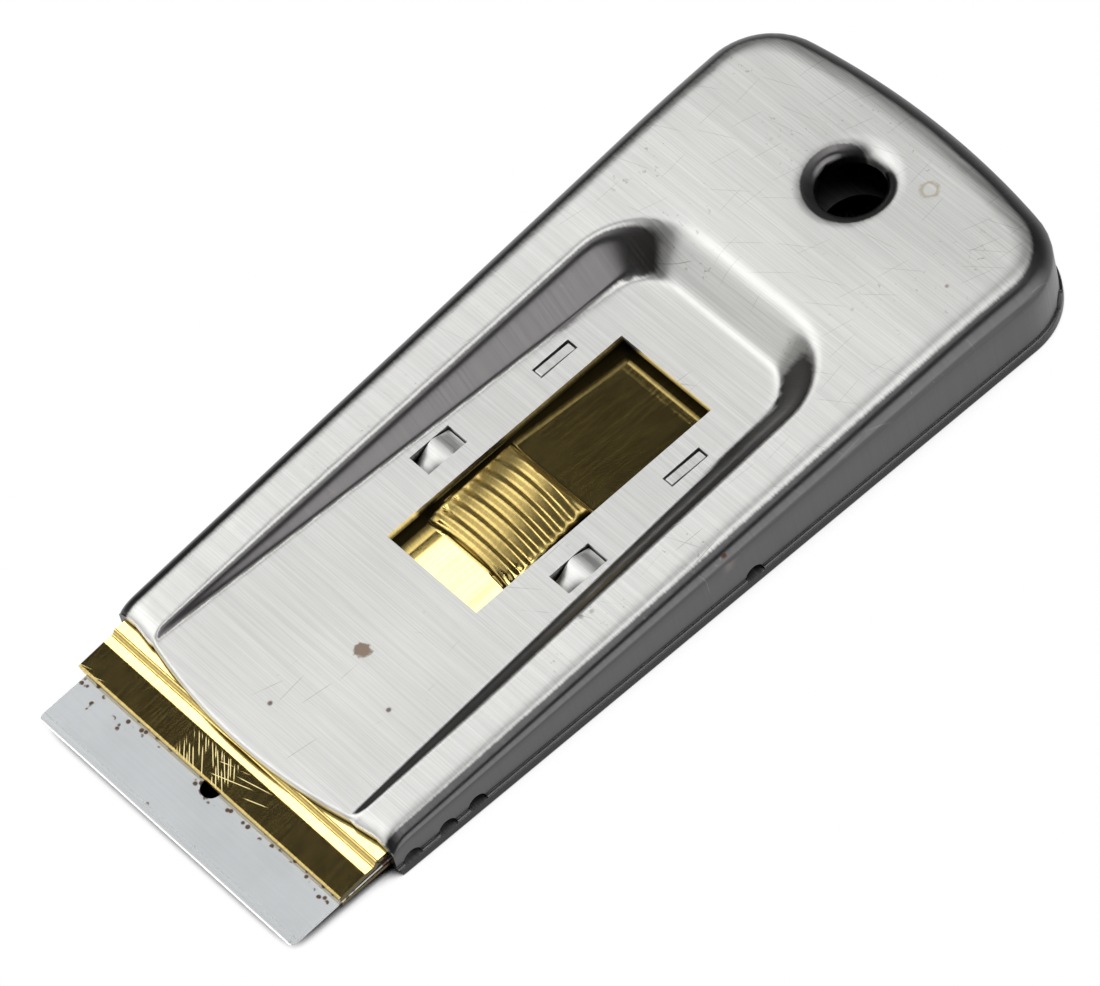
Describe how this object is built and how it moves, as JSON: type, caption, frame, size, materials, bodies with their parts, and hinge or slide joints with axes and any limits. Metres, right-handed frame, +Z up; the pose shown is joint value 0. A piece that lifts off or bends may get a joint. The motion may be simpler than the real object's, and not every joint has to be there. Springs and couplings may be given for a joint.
{
  "type": "razor blade scraper",
  "caption": "Flat razor blade scraper: pressed steel handle with a sunk thumb panel and hang hole, ribbed brass slide that pushes out a single-edge blade.",
  "frame": {"origin": "middle of the underside of the back plate, halfway between the blade's edge and the rear of the plate, blade out as pictured", "axes": "+Y from the blade's edge to the hang hole, +Z up out of the thumb panel, +X to the right of someone who looks from the hang hole's side with the blade pointing at them"},
  "size_m": [0.0464, 0.1058, 0.0094],
  "materials": {
    "brushed_shell": "bright, fine grain across the width",
    "plate_steel": "plain rolled",
    "brass": "bright, lightly scratched",
    "blade_steel": "matt, ground bevel",
    "spine_steel": "plain folded"
  },
  "bodies": {
    "handle": {"shell": "brushed_shell", "back_plate": "plate_steel"},
    "slide": {"carrier": "brass", "blade": "blade_steel", "blade_spine": "spine_steel"}
  },
  "joints": [
    {"name": "blade_slide", "type": "slide", "parent": "handle", "child": "slide", "axis": [0, 1, 0], "range_m": [-0.0036, 0.0148]}
  ]
}
